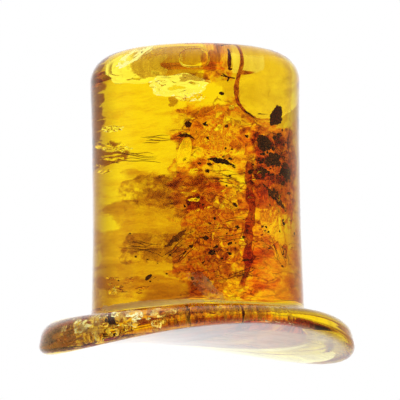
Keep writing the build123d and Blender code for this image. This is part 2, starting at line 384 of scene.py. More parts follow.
# Painted sheen: pale cream streaks that stand for the light mirrored by the underside.
BASE_SHEEN = haze("base_sheen", (1.0, 0.88, 0.76), 1.8, (0.3, 1, 1), 0.6, (0.3, 0.62))

# ---- the amber ----
TURN_STEPS = 288


def drop(radius, reach):
    """How far an arc of this radius has moved away from its tangent at this reach."""
    return radius - sqrt(radius ** 2 - reach ** 2)


def base_height(x, y):
    """The underside: an arch along the brim, with a curl across it."""
    return BASE_TOP - BASE_ARCH_RADIUS + sqrt((BASE_ARCH_RADIUS + drop(BASE_CURL_RADIUS, y)) ** 2 - x * x)


def top_height(y):
    return BRIM_TOP + drop(TOP_CURL_RADIUS, y)


def oval_reach(angle, height):
    lean = WALL_LEAN * height
    return 1 / hypot(cos(angle) / (OVAL_HALF_LENGTH - lean), sin(angle) / (OVAL_HALF_WIDTH - lean))


def top_rounding(angle):
    """The brim's top edge is rounder at its two tips, where hands have worn it most."""
    return BRIM_TOP_ROUNDING + (BRIM_TIP_ROUNDING - BRIM_TOP_ROUNDING) * cos(angle) ** 4


def crown_reach(height):
    waist = BRIM_TOP + CROWN_HEIGHT / 2
    end, radius = (CROWN_TOP, CROWN_RADIUS_TOP) if height > waist else (BRIM_TOP, CROWN_RADIUS_FOOT)
    return CROWN_RADIUS_WAIST + (radius - CROWN_RADIUS_WAIST) * ((height - waist) / (end - waist)) ** 2


def rounded(start, corner, end, radius, steps):
    """Points of an arc of this radius that rounds a corner between two straight runs."""
    into = (corner - start).normalized()
    out = (end - corner).normalized()
    turn = into.angle_signed(out) * -1
    reach = radius * tan(abs(turn) / 2)
    side = Vector((-into.y, into.x)) * (1 if turn > 0 else -1)
    first = corner - into * reach
    centre = first + side * radius
    points = []
    for step in range(steps + 1):
        arm = first - centre
        arm.rotate(Matrix.Rotation(turn * step / steps, 2))
        points.append(centre + arm)
    return points


def between(start, end, steps):
    """Points from start to end, without the two ends."""
    return [start.lerp(end, step / steps) for step in range(1, steps)]


def body_profile(angle):
    """(reach, height) points at this angle, from under the axis, round the brim, to the top's middle."""
    x, y = cos(angle), sin(angle)

    def on_base(reach):
        return Vector((reach, base_height(reach * x, reach * y)))

    foot = top = Vector((OVAL_HALF_WIDTH, BRIM_TOP))
    # A few rounds settle where the leaning wall meets the two curved faces.
    for _ in range(12):
        foot = on_base(oval_reach(angle, foot.y))
        top_reach = oval_reach(angle, top.y)
        top = Vector((top_reach, top_height(top_reach * y)))
    crown_foot = Vector((CROWN_RADIUS_FOOT, top_height(CROWN_RADIUS_FOOT * y)))
    crown_start = Vector((crown_reach(crown_foot.y + 1), crown_foot.y + 1))
    shoulder = Vector((CROWN_RADIUS_TOP, CROWN_TOP))
    below_shoulder = Vector((crown_reach(CROWN_TOP - 1), CROWN_TOP - 1))

    foot_arc = rounded(on_base(foot.x - 0.5), foot, top, BRIM_FOOT_ROUNDING, 8)
    top_arc = rounded(foot, top, crown_foot, top_rounding(angle), 12)
    # Beside the crown the brim is narrow, and the fillet shrinks to fit on it.
    foot_fillet = min(CROWN_FOOT_FILLET, FILLET_ROOM * (top_arc[-1].x - CROWN_RADIUS_FOOT))
    crown_arc = rounded(top, crown_foot, crown_start, foot_fillet, 10)
    shoulder_arc = rounded(below_shoulder, shoulder, Vector((0, CROWN_TOP)), SHOULDER_RADIUS, 14)

    base_steps, wall_steps = 30, 72
    points = [on_base(foot_arc[0].x * step / base_steps) for step in range(1, base_steps)]
    points += foot_arc + between(foot_arc[-1], top_arc[0], 4) + top_arc
    points += [
        Vector((p.x, top_height(p.x * y))) for p in between(top_arc[-1], crown_arc[0], 14)
    ]
    points += crown_arc
    points += [
        Vector((crown_reach(p.y), p.y)) for p in between(crown_arc[-1], shoulder_arc[0], wall_steps)
    ]
    points += shoulder_arc + between(shoulder_arc[-1], Vector((0, CROWN_TOP)), 16)
    return points


def outer_skin():
    """The carving's outer surface, as points and faces that look outwards."""
    points = [Vector((0, 0, base_height(0, 0))), Vector((0, 0, CROWN_TOP))]
    for step in range(TURN_STEPS):
        angle = 2 * pi * step / TURN_STEPS
        profile = body_profile(angle)
        points += [Vector((p.x * cos(angle), p.x * sin(angle), p.y)) for p in profile]
    count = len(profile)
    faces = []
    for step in range(TURN_STEPS):
        here, there = 2 + step * count, 2 + (step + 1) % TURN_STEPS * count
        faces.append((0, there, here))
        faces.append((1, here + count - 1, there + count - 1))
        faces += [(here + i, there + i, there + i + 1, here + i + 1) for i in range(count - 1)]
    return points, faces


def hand_polish(point):
    """How far the polished surface stands proud here, from the hand that rubbed it."""
    return 0.018 * rough(point, 5.0) + 0.003 * rough(point, 1.8, 3.0)


def bubble(centre, width, height, depth, squareness=2.0, rings=20):
    """A gas bubble: an inner skin of the amber, whose faces look into the bubble."""
    points = [centre + UP * height, centre - UP * height]

    def squared(value):
        return copysign(abs(value) ** (2 / squareness), value)

    for ring in range(1, rings):
        polar = pi * ring / rings
        for step in range(2 * rings):
            angle = pi * step / rings
            across = squared(cos(angle)) * squared(sin(polar)) * width
            back = squared(sin(angle)) * squared(sin(polar)) * depth
            rise = squared(cos(polar)) * height
            points.append(centre + TO_RIGHT * across + AWAY * back + UP * rise)
    count = 2 * rings
    faces = []
    for step in range(count):
        following = (step + 1) % count
        faces.append((0, 2 + following, 2 + step))
        last = 2 + (rings - 2) * count
        faces.append((1, last + step, last + following))
        for ring in range(rings - 2):
            a, b = 2 + ring * count + step, 2 + ring * count + following
            faces.append((a, b, b + count, a + count))
    return points, faces


def crack(centre, across, along, half_width, half_length, gap, crinkle, wave, seed,
          rings=14, spokes=40, torn=0.28, uneven=0.0):
    """A stress crack: a thin gap in the amber, closed at its rim. Its faces look into the gap.
    gap is half its thickness, crinkle and wave the height and size of its creases, and torn how
    ragged its outline is. An uneven one varies in thickness, each side in its own way."""
    normal = across.cross(along).normalized()

    def at(side, share, angle):
        edge = share * (1 + torn * noise.noise(Vector((2.2 * cos(angle), 2.2 * sin(angle), seed))))
        aside, ahead = cos(angle) * half_width * edge, sin(angle) * half_length * edge
        flat = centre + across * aside + along * ahead
        lift = side * gap * (1 - share ** 2) * (1 + uneven * rough(flat, 0.8 * wave, seed + side))
        return flat + normal * (crinkle * rough(flat, wave, seed) + lift)

    points, faces = [], []
    for side in (1, -1):
        points.append(at(side, 0, 0))
        for ring in range(1, rings):
            points += [at(side, ring / rings, 2 * pi * spoke / spokes) for spoke in range(spokes)]
    rim = len(points)
    points += [at(0, 1, 2 * pi * spoke / spokes) for spoke in range(spokes)]
    for spoke in range(spokes):
        nxt = (spoke + 1) % spokes
        for start in (0, rim // 2):
            strip = [(start, start + 1 + spoke, start + 1 + nxt)]
            for ring in range(rings - 1):
                a, b = start + 1 + ring * spokes + spoke, start + 1 + ring * spokes + nxt
                c, d = (a + spokes, b + spokes) if ring < rings - 2 else (rim + spoke, rim + nxt)
                strip.append((a, c, d, b))
            faces += strip if start else [tuple(reversed(face)) for face in strip]
    return points, faces


# Where small curled flakes of air lie between the flows: the zone's middle from the best side, its
# half sizes, how many flakes it has, and their radius.
FLAKE_ZONES = (
    ((1.3, -0.6, 15.5), (2.0, 1.2, 3.4), 16, 0.28),
    ((1.3, -0.8, 9.0), (1.8, 1.2, 3.6), 22, 0.28),
    ((4.2, -0.4, 11.5), (1.2, 1.2, 5.5), 16, 0.26),
    ((-4.2, 1.4, 15.8), (1.4, 1.0, 1.6), 8, 0.45),
    ((-4.0, -1.5, 5.3), (1.8, 1.2, 0.8), 18, 0.35),
)
BRIM_FLAKES = 75
FLAKE_GAP = 0.008
BUBBLE = place(0.0, -6.7, 22.3)
PIN_BUBBLE = place(2.25, -3.4, 18.9)

# Gaps that lean at about 45 degrees mirror the bright sky or the ground towards the best side, and
# look like gold leaf. Each row is a place from the best side and what crack() is given after it.
LEANING = (AWAY + UP).normalized()
LYING = (AWAY + UP * 0.9).normalized()
NODDING = (AWAY - UP - TO_RIGHT * 0.16).normalized()
GAPS = (
    ((-1.1, -4.8, 20.5), TO_RIGHT, LEANING, 2.0, 1.5, 0.008, 0.15, 0.9, 2.0),
    ((4.1, 1.4, 20.9), TO_RIGHT, LEANING, 2.3, 3.6, 0.01, 0.05, 3.0, 8.0, 24, 80, 0.08),
    ((-3.2, -0.6, 22.0), TO_RIGHT, LEANING, 1.9, 1.2, 0.009, 0.12, 1.2, 9.0, 20, 60),
    ((-0.71, -3.9, 15.4), TO_RIGHT, NODDING, 0.42, 1.5, 0.008, 0.0, 1.0, 10.0, 16, 60, 0.04),
    ((2.9, -1.9, 22.3), TO_RIGHT, LEANING, 1.3, 0.95, 0.009, 0.05, 3.0, 11.0, 16, 60),
    ((-0.3, -5.4, 19.5), TO_RIGHT, LYING, 1.0, 0.55, 0.008, 0.05, 0.9, 4.0),
    ((-3.7, -4.4, 22.6), TO_RIGHT + UP * 0.22, LYING, 1.9, 0.45, 0.008, 0.1, 0.6, 5.0),
    ((-5.6, -2.6, 17.6), TO_RIGHT, LYING, 1.0, 0.5, 0.008, 0.12, 0.5, 6.0),
    ((-5.2, -2.6, 16.0), TO_RIGHT, LYING, 1.3, 0.35, 0.008, 0.12, 0.5, 7.0),
)

points, faces = outer_skin()
skin = bpy.data.meshes.new("skin")
skin.from_pydata(points, [], faces)
points = [v.co + v.normal * hand_polish(v.co) for v in skin.vertices]
bpy.data.meshes.remove(skin)

voids = [bubble(PIN_BUBBLE, 0.18, 0.2, 0.18)]
voids += [crack(place(*spot), *shape) for spot, *shape in GAPS]
draw = Random(7)
for zone_middle, reach, number, size in FLAKE_ZONES:
    for _ in range(number):
        middle = place(*[spot + draw.uniform(-1, 1) * half for spot, half in zip(zone_middle, reach)])
        lean = draw.uniform(0.3, 1.3)
        swing = draw.uniform(-0.7, 0.7)
        across = (TO_RIGHT + AWAY * swing).normalized()
        along = (AWAY - TO_RIGHT * swing + UP * lean).normalized()
        radius = size * draw.uniform(0.5, 1.3)
        length = radius * draw.uniform(0.4, 1.0)
        seed = draw.uniform(0, 50)
        voids.append(crack(middle, across, along, radius, length, FLAKE_GAP, 0.12, 0.5, seed, 5, 14))
for _ in range(BRIM_FLAKES):
    angle = radians(draw.triangular(176, 232, 196))
    reach = oval_reach(angle, BRIM_TOP / 2) - draw.uniform(1.0, 3.2)
    x, y = reach * cos(angle), reach * sin(angle)
    low, high = base_height(x, y) + 0.45, top_height(y) - 0.4
    across = Vector((-y, x, 0)).normalized()
    along = (Vector((-x, -y, 0)).normalized() + UP * draw.uniform(0.2, 1.6)).normalized()
    radius = draw.uniform(0.15, 0.62)
    middle = Vector((x, y, draw.uniform(low, high)))
    seed = draw.uniform(0, 50)
    voids.append(crack(middle, across, along, radius, 0.55 * radius, FLAKE_GAP, 0.08, 0.4, seed, 5, 14))
for void in voids:
    add_shape(points, faces, void)
make_piece("amber_carving", points, faces, AMBER, ["amber_body"])

points, faces = bubble(BUBBLE, 1.12, 0.7, 0.55, squareness=2.5)
make_piece("round_bubble", points, faces, BUBBLE_WATER)

# ---- inclusions, with sheets of painted shade, shadow and sheen ----
def turned(tilt):
    """To the right and up as seen from the best side, turned by the tilt in degrees."""
    lean = radians(tilt)
    return TO_RIGHT * cos(lean) + UP * sin(lean), UP * cos(lean) - TO_RIGHT * sin(lean)


def broken_ball(centre, tilt, width, height, thickness, jagged, detail=5):
    """Points and faces of a rough lump, turned by the tilt in degrees as seen from the best side."""
    across, up = turned(tilt)
    ball = bmesh.new()
    bmesh.ops.create_icosphere(ball, subdivisions=detail, radius=1.0)
    points = []
    for vertex in ball.verts:
        p = vertex.co
        local = across * (p.x * width / 2) + AWAY * (p.y * thickness / 2) + up * (p.z * height / 2)
        coarse = rough(local, 0.4 * width, centre.x)
        fine = rough(local, 0.12 * width, centre.z)
        points.append(centre + local * (1 + jagged * (coarse + 0.8 * fine)))
    faces = [[v.index for v in face.verts] for face in ball.faces]
    ball.free()
    return points, faces


def crumb(name, tilt, width, height, thickness, jagged):
    """A broken bit of bark that stands for the CAD node of its name."""
    points, faces = broken_ball(frame_centre(name), tilt, width, height, thickness, jagged)
    return make_piece(name + "_detail", points, faces, DARK_BARK, [name])


def specks():
    """Bits of dirt, one for each separate lump of the CAD node."""
    shape = bmesh.new()
    shape.from_mesh(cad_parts["dirt_specks"].data)
    bmesh.ops.remove_doubles(shape, verts=shape.verts, dist=0.001 * MM)
    unseen = set(shape.verts)
    points, faces = [], []
    for first in shape.verts:
        if first not in unseen:
            continue
        unseen.remove(first)
        lump, waiting = [], [first]
        while waiting:
            vertex = waiting.pop()
            lump.append(vertex.co / MM)
            for edge in vertex.link_edges:
                other = edge.other_vert(vertex)
                if other in unseen:
                    unseen.remove(other)
                    waiting.append(other)
        low = Vector([min(p[axis] for p in lump) for axis in range(3)])
        high = Vector([max(p[axis] for p in lump) for axis in range(3)])
        size = high.z - low.z
        middle, tilt = (low + high) / 2, 40 * low.z
        speck = broken_ball(middle, tilt, size, 1.15 * size, 0.7 * size, 0.4, 3)
        add_shape(points, faces, speck)
    shape.free()
    return make_piece("dirt_specks_detail", points, faces, DARK_BARK, ["dirt_specks"])


def scattered_bits(name, zones, material):
    """Small broken bits. Each zone is (middle from the best side, half sizes, number, largest width)."""
    points, faces = [], []
    scatter = Random(name)
    for (side, depth, height), reach, number, width in zones:
        for _ in range(number):
            shift = Vector([scatter.gauss(0, 0.5) * half for half in reach])
            middle = place(side + shift.x, depth + shift.y, height + shift.z)
            wide = width * scatter.uniform(0.3, 1.0)
            tall = wide * scatter.uniform(0.4, 1.0)
            tilt = scatter.uniform(0, 180)
            add_shape(points, faces, broken_ball(middle, tilt, wide, tall, 0.5 * wide, 0.5, 2))
    return make_piece(name, points, faces, material)


def sliver(name, tilt, length, width, thickness, bend, material):
    """A splinter with lengthwise fibres that stands for the CAD node of its name."""
    centre = frame_centre(name)
    along, up = turned(tilt)
    steps, spokes = 48, 20
    points = []
    for step in range(steps + 1):
        share = 2 * step / steps - 1
        ragged = 1 + 0.55 * rough(Vector((share * length, centre.x, centre.z)), 0.5)
        taper = max(0.04, (1 - abs(share) ** 2.2)) * ragged
        wander = 0.25 * width * rough(Vector((share * length, centre.z, centre.x)), 0.8)
        spine = along * (share * length / 2) + up * (bend * (1 - share ** 2) - bend / 2 + wander)
        for spoke in range(spokes):
            angle = 2 * pi * spoke / spokes
            along_grain = Vector((2.5 * cos(angle), 2.5 * sin(angle), 1.3 * share + centre.z))
            fibre = 1 + 0.3 * noise.noise(along_grain)
            ring = up * (cos(angle) * width / 2) + AWAY * (sin(angle) * thickness / 2)
            points.append(centre + spine + ring * (taper * fibre))
    return make_piece(name + "_detail", points, rod_faces(steps + 1, spokes), material, [name])


CROWN_MARGIN = 0.15
BRIM_MARGIN = 0.12
WALL_MARGIN = 0.05
BASE_MARGIN = 0.06
TEAR_DEPTH = 0.6  # of the noise that tears a sheet's outline
FADE = 0.4  # how soon a sheet's cover sets in from its outline


def crown_room(point):
    """How far inside the crown's wall and top a point is."""
    above = point.z - (CROWN_TOP - SHOULDER_RADIUS)
    if above > 0:
        reach = CROWN_RADIUS_TOP - SHOULDER_RADIUS + sqrt(max(0.0, SHOULDER_RADIUS ** 2 - above ** 2))
    else:
        reach = crown_reach(point.z)
    return min(reach - hypot(point.x, point.y), CROWN_TOP - point.z) - CROWN_MARGIN


def ragged_sheet(name, surface, material, seed, replaced=(), ragged=0.5, wave=1.2, steps=(70, 70),
                 room=None):
    """A thin sheet over surface(u, v), where u and v run from -1 to 1, with a torn outline, cut
    back where room(point) is negative. Its cover attribute fades it out towards its edge."""
    columns, rows = steps
    points, keep, cover = [], [], []
    for row in range(rows + 1):
        for column in range(columns + 1):
            u, v = 2 * column / columns - 1, 2 * row / rows - 1
            point = surface(u, v)
            torn = max(-TEAR_DEPTH, min(TEAR_DEPTH, rough(point, wave, seed + 9)))
            outline = 2.2 * (1 - u * u) * (1 - v * v) + ragged * (torn - TEAR_DEPTH)
            if room:
                outline = min(outline, room(point))
            points.append(point)
            keep.append(outline > 0)
            cover.append(smooth(0.0, FADE, outline))
    faces = [face for face in grid_faces(columns, rows) if all(keep[i] for i in face)]
    used = sorted({i for face in faces for i in face})
    renumber = {old: new for new, old in enumerate(used)}
    return make_piece(
        name, [points[i] for i in used], [[renumber[i] for i in face] for face in faces],
        material, replaced, [cover[i] for i in used],
    )


def sheet(name, centre, width, tall, bow, crumple, material, seed, replaced=()):
    """A crumpled upright sheet that faces the best side."""
    side, depth, height = centre

    def surface(u, v):
        flat = place(side + u * width, depth, height + v * tall)
        return flat + AWAY * (bow * (1 - u * u) + crumple * rough(flat, 1.6, seed))

    wave = min(1.4, 0.7 * tall)
    return ragged_sheet(name, surface, material, seed, replaced, ragged=1.0, wave=wave, room=crown_room)


def brim_sheet(name, start, end, inset, material, seed):
    """A sheet inside the brim, this far in from its edge, between two angles from +X in degrees."""
    def surface(u, v):
        angle = radians((start + end) / 2 + u * (end - start) / 2)
        out = Vector((cos(angle), sin(angle), 0))
        rim = out * (oval_reach(angle, BRIM_TOP / 2) - inset)
        low, high = base_height(rim.x, rim.y) + BRIM_MARGIN, top_height(rim.y) - BRIM_MARGIN
        height = (low + high) / 2 + v * (high - low) / 2
        above, below = high + BRIM_MARGIN - height, height - low + BRIM_MARGIN
        over = drop(top_rounding(angle), max(0.0, top_rounding(angle) - above))
        under = drop(BRIM_FOOT_ROUNDING, max(0.0, BRIM_FOOT_ROUNDING - below))
        flat = out * (oval_reach(angle, height) - inset - over - under) + UP * height
        return flat + out * (min(0.25, 0.5 * inset) * rough(flat, 1.5, seed))

    return ragged_sheet(name, surface, material, seed, ragged=0.25, steps=(120, 20))


def base_sheet(name, centre_x, centre_y, half_length, half_width, material, seed):
    """A sheet just inside the brim's hollow underside."""
    def surface(u, v):
        x, y = centre_x + u * half_length, centre_y + v * half_width
        return Vector((x, y, base_height(x, y) + BASE_MARGIN))

    def brim_room(point):
        reach = oval_reach(atan2(point.y, point.x), point.z)
        return reach - hypot(point.x, point.y) - BRIM_FOOT_ROUNDING

    return ragged_sheet(
        name, surface, material, seed, ragged=0.4, wave=3.0, steps=(90, 60), room=brim_room
    )


def wall_sheet(name, middle, half_turn, slant, low, high, material, seed):
    """A sheet just under the crown's wall. middle is its angle from the best side, to the right, and
    slant is how far its top is turned to the left of its middle, in degrees."""
    def surface(u, v):
        height = (low + high) / 2 + v * (high - low) / 2
        turn = radians(middle + u * half_turn - v * slant)
        reach = crown_reach(height) - WALL_MARGIN
        return place(reach * sin(turn), -reach * cos(turn), height)

    return ragged_sheet(name, surface, material, seed, ragged=0.6, wave=0.9)


def smooth_path(path, share):
    """A point on a smooth line through the path's points, for a share of its length from 0 to 1."""
    spot = share * (len(path) - 1)
    index = min(int(spot), len(path) - 2)
    near = [Vector(path[min(max(index + step, 0), len(path) - 1)]) for step in (-1, 0, 1, 2)]
    before, start, end, after = near
    t = spot - index
    return 0.5 * (
        2 * start + (end - before) * t + (2 * before - 5 * start + 4 * end - after) * t ** 2
        + (3 * start - before - 3 * end + after) * t ** 3
    )


def ribbon(name, path, depth, half_depth, crumple, material, replaced=()):
    """A sheet that stands on edge, so that from the best side it is a dark wavy line along the path."""
    def surface(u, v):
        side, height = smooth_path(path, (v + 1) / 2)
        base = place(side + 0.1 * u, depth + half_depth * u, height)
        return base + TO_RIGHT * (crumple * rough(base, 0.9, 4.0))

    return ragged_sheet(name, surface, material, 4.0, replaced, ragged=0.1, steps=(16, 130))


crumb("bark_chip", 62, 1.5, 0.85, 0.55, 0.3)
crumb("bark_crumb_left", 15, 0.78, 1.0, 0.6, 0.5)
crumb("bark_crumb_lower", 40, 0.85, 0.75, 0.5, 0.5)
crumb("bark_crumb_right", -20, 0.75, 0.85, 0.45, 0.5)
crumb("bark_crumb_small", 0, 0.52, 0.47, 0.35, 0.35)
crumb("seed_husk", 45, 0.6, 0.3, 0.22, 0.15)
specks()

sliver("bark_splinter", -52, 2.7, 0.42, 0.3, 0.08, DARK_BARK)
sliver("bark_shred", -18, 1.8, 0.3, 0.25, 0.14, DARK_BARK)
sliver("twig_splinter", 47, 2.0, 0.4, 0.3, -0.1, BROWN_WOOD)
sliver("brown_sliver", 80, 0.95, 0.24, 0.15, 0.06, BROWN_WOOD)
sliver("leaf_curl", -14, 1.25, 0.3, 0.5, 0.22, DARK_BARK)
sliver("brim_dirt_left", 4, 1.8, 0.3, 0.5, 0.0, DARK_BARK)
sliver("brim_dirt_middle", 84, 0.95, 0.22, 0.25, 0.1, BROWN_WOOD)
sliver("brim_dirt_right", 97, 1.0, 0.16, 0.25, -0.12, BROWN_WOOD)

scattered_bits("loose_bark_bits", (
    ((4.5, -1.9, 15.4), (1.5, 0.6, 2.2), 46, 0.42),
    ((1.6, -2.2, 14.6), (2.0, 0.5, 2.4), 22, 0.26),
    ((1.2, -2.2, 8.6), (2.2, 0.5, 3.2), 30, 0.3),
    ((4.8, -1.4, 9.6), (1.2, 0.5, 3.0), 16, 0.26),
    ((-2.6, -2.0, 7.0), (2.2, 0.5, 2.4), 14, 0.2),
), DARK_BARK)

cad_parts["twisted_fibre"].data.materials.clear()
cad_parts["twisted_fibre"].data.materials.append(HAIR)


def thread(path, radius, spokes=6):
    """Points and faces of a thin round thread along a list of points."""
    points = []
    for index, spot in enumerate(path):
        before, after = path[max(index - 1, 0)], path[min(index + 1, len(path) - 1)]
        turn = (after - before).to_track_quat("Z", "X")
        taper = radius * (0.35 + 0.65 * sin(pi * index / (len(path) - 1)))
        for spoke in range(spokes):
            angle = 2 * pi * spoke / spokes
            points.append(spot + turn @ Vector((cos(angle) * taper, sin(angle) * taper, 0)))
    return points, rod_faces(len(path), spokes)


def threads(name, bundles, material, replaced=()):
    """Bundles of fine threads. Each bundle is (middle, length, tilt, spread, number, radius)."""
    points, faces = [], []
    scatter = Random(name)
    for middle, length, tilt, spread, number, radius in bundles:
        for _ in range(number):
            along = turned(tilt + scatter.gauss(0, 9))[0] + AWAY * scatter.gauss(0, 0.15)
            start = place(*middle) + Vector([scatter.uniform(-spread, spread) for _ in range(3)])
            reach, seed = length * scatter.uniform(0.5, 1.1), scatter.uniform(0, 90)
            path = []
            for step in range(25):
                share = step / 24 - 0.5
                spot = start + along * (share * reach)
                shifts = Matrix.Diagonal((seed, seed, seed))
                wander = [noise.noise(spot / 0.9 + shift) for shift in shifts]
                path.append(spot + 0.22 * Vector(wander))
            add_shape(points, faces, thread(path, radius * scatter.uniform(0.6, 1.2)))
    return make_piece(name, points, faces, material, replaced)


HAIRS = (((-3.4, -3.4, 8.2), 2.4, -8, 0.5, 9, 0.03),)
threads("plant_hairs_detail", HAIRS, HAIR, ["plant_hairs"])
FIBRES = (
    ((-2.4, -2.1, 16.6), 1.8, -6, 0.25, 5, 0.025), ((-3.4, -1.2, 15.4), 2.6, -3, 0.35, 6, 0.03),
    ((3.1, -1.8, 18.6), 1.4, -46, 0.12, 3, 0.035), ((4.0, -1.8, 18.6), 0.7, 12, 0.05, 2, 0.035),
    ((1.7, -2.6, 13.6), 2.0, -15, 0.5, 7, 0.03), ((1.5, -2.9, 9.4), 1.6, 5, 0.9, 10, 0.03),
    ((4.9, -1.6, 8.0), 2.0, -62, 0.7, 8, 0.025), ((-1.0, -2.6, 7.8), 1.8, 40, 0.5, 7, 0.03),
    ((2.4, -2.2, 6.2), 1.6, 18, 0.4, 5, 0.03), ((5.2, -1.5, 15.6), 1.4, -50, 0.6, 7, 0.03),
)
threads("loose_fibres", FIBRES, HAIR)

low, high = frame_box("dust_seam")
seam_side = ((low + high) / 2).dot(TO_RIGHT)
seam_depth = ((low + high) / 2).dot(AWAY)
SEAM_WAVES = (-0.5, -0.25, -0.1, -0.15, 0.1, 0.05, -0.05, 0.1)
seam_path = [
    (seam_side + wave, low.z + (high.z - low.z) * step / (len(SEAM_WAVES) - 1))
    for step, wave in enumerate(SEAM_WAVES)
]
ribbon("dust_seam_detail", seam_path, seam_depth, 0.8, 0.16, SEAM_DUST, ["dust_seam"])
DROP_EDGE = ((3.5, 22.9), (2.9, 22.3), (2.6, 21.4), (2.45, 20.2), (2.6, 19.3), (3.3, 18.4))
ribbon("drop_edge", DROP_EDGE, -2.6, 0.35, 0.08, SEAM_DUST)

# Each veil: name, the CAD node it stands for, its place from the best side, its half sizes, how far
# it bows and crumples, and its material.
VEILS = (
    ("shade_low", "dust_veil_foot", (-1.0, 3.6, 8.9), 3.2, 6.6, -0.6, 0.3, AMBER_SHADE, 4),
    ("shade_left", None, (-2.6, 2.2, 17.0), 3.0, 7.0, 0.3, 0.3, LEMON_SHADE, 13),
    ("shade_front", None, (-2.0, -4.0, 8.0), 4.6, 4.4, 0.6, 0.2, LEMON_SHADE, 14),
    ("shade_foot", None, (-3.2, -0.6, 4.6), 4.4, 1.9, -0.3, 0.3, AMBER_SHADE, 44),
    ("veil_top", None, (1.5, -4.6, 21.9), 1.2, 1.3, 0.1, 0.2, ORANGE_VEIL, 43),
    ("shade_pale", None, (4.3, -2.9, 20.6), 3.6, 4.2, 0.2, 0.1, PALE_SHADE, 45),
    # Painted shadow: two brown patches under and below the gold-leaf gap near the crown's top.
    ("clay_under", None, (0.0, -4.4, 21.1), 1.1, 0.5, 0.1, 0.1, CLAY_AND_SHADOW, 15),
    ("clay_drop", None, (-1.4, -4.6, 19.3), 0.4, 0.5, 0.05, 0.05, CLAY_AND_SHADOW, 16),
    ("veil_back", None, (1.3, 2.4, 11.6), 2.9, 9.6, -0.4, 0.5, ORANGE_VEIL, 11),
    ("veil_upper", "dust_veil_upper", (1.6, -0.4, 15.9), 3.5, 5.2, 0.5, 0.6, ORANGE_VEIL, 1),
    ("veil_lower", "dust_veil_lower", (1.4, -0.7, 7.7), 3.1, 6.0, -0.4, 0.6, ORANGE_SWIRL, 2),
    ("veil_right", "dust_veil_right", (4.0, 1.5, 11.0), 2.3, 9.2, 0.3, 0.5, WARM_VEIL, 3),
    ("veil_cluster", None, (4.7, -0.8, 14.2), 2.1, 4.1, 0.2, 0.5, BROWN_VEIL, 12),
    ("veil_right_low", None, (4.2, 0.4, 5.8), 2.8, 3.6, 0.2, 0.4, WARM_VEIL, 18),
    ("veil_left_low", None, (-2.4, -1.0, 8.2), 2.4, 1.5, 0.2, 0.3, OLIVE_CLOUD, 20),
    ("umber_cluster", None, (4.5, -1.2, 15.2), 1.9, 2.8, 0.2, 0.4, UMBER_DUST, 19),
    ("cloud_left", "dust_cloud_left", (-2.6, -0.4, 12.7), 2.0, 1.6, 0.2, 0.3, OLIVE_CLOUD, 55),
    ("cloud_middle", "dust_cloud_middle", (-1.0, 0.9, 13.1), 1.6, 1.6, 0.2, 0.3, OLIVE_CLOUD, 6),
    ("clay_film_detail", "clay_film", (-1.4, -1.6, 22.4), 3.4, 1.1, 0.2, 0.15, CLAY_AND_SHADOW, 7),
    ("skin_upper", "bark_skin_upper", (-4.1, 3.0, 20.2), 0.6, 3.2, 0.2, 0.1, BARK_SKIN, 8),
    ("skin_middle", "bark_skin_middle", (-3.8, 2.7, 16.4), 1.1, 1.5, 0.2, 0.1, BARK_SKIN, 9),
)
flake = frame_centre("wood_flake")
flake_place = (flake.dot(TO_RIGHT), flake.dot(AWAY), flake.z)
sheet("wood_flake_detail", flake_place, 0.65, 0.9, 0.1, 0.1, BROWN_VEIL, 17, ["wood_flake"])
for name, cad_node, *rest in VEILS:
    sheet(name, *rest, [cad_node] if cad_node else ())

brim_sheet("brim_gold_left", 176, 226, 1.5, BRIM_GOLD, 21)
brim_sheet("brim_shade_middle", 218, 276, 0.35, BRIM_SHADE, 22)
brim_sheet("brim_streaks", 221, 290, 0.28, STREAK_HAZE, 42)
brim_sheet("brim_shade_back", 206, 244, 3.6, BRIM_GOLD, 23)
brim_sheet("brim_gold_right", 276, 350, 0.5, WING_HAZE, 26)
# Painted sheen on the brim's left tip.
brim_sheet("brim_tip_sheen", 158, 204, 0.25, TIP_SHEEN, 27)
# Painted sheen: cream streaks just inside the underside, in place of its reflection.
base_sheet("base_sheen", 5.6, -1.0, 6.4, 7.0, BASE_SHEEN, 28)
# Painted sheen: a pale lavender band round the crown's foot, in place of its reflection.
wall_sheet("crown_foot_sheen", -30, 36, 0, 3.2, 3.9, FOOT_SHEEN, 24)
wall_sheet("crown_scuff", 5, 6, 9, 3.3, 6.0, SCUFF, 25)

# Each flow of denser resin: its place, half sizes, thickness, and how crinkled it is.
FLOWS = (
    ("flow_upper", (1.3, -2.6, 16.4), 1.6, 3.2, 0.35, 0.15, 0.8, 1.0, FLOW_GLASS, 31),
    ("flow_lower", (1.0, -2.8, 9.2), 1.8, 4.0, 0.35, 0.15, 0.8, 1.0, FLOW_GLASS, 32),
    ("flow_right", (5.2, -2.2, 12.0), 1.5, 5.2, 0.3, 0.12, 0.8, 1.0, FLOW_GLASS, 33),
    ("resin_drop", (3.6, -2.4, 20.3), 1.1, 1.25, 0.6, 0.0, 1.0, 0.0, CLEAR_DROP, 34),
)


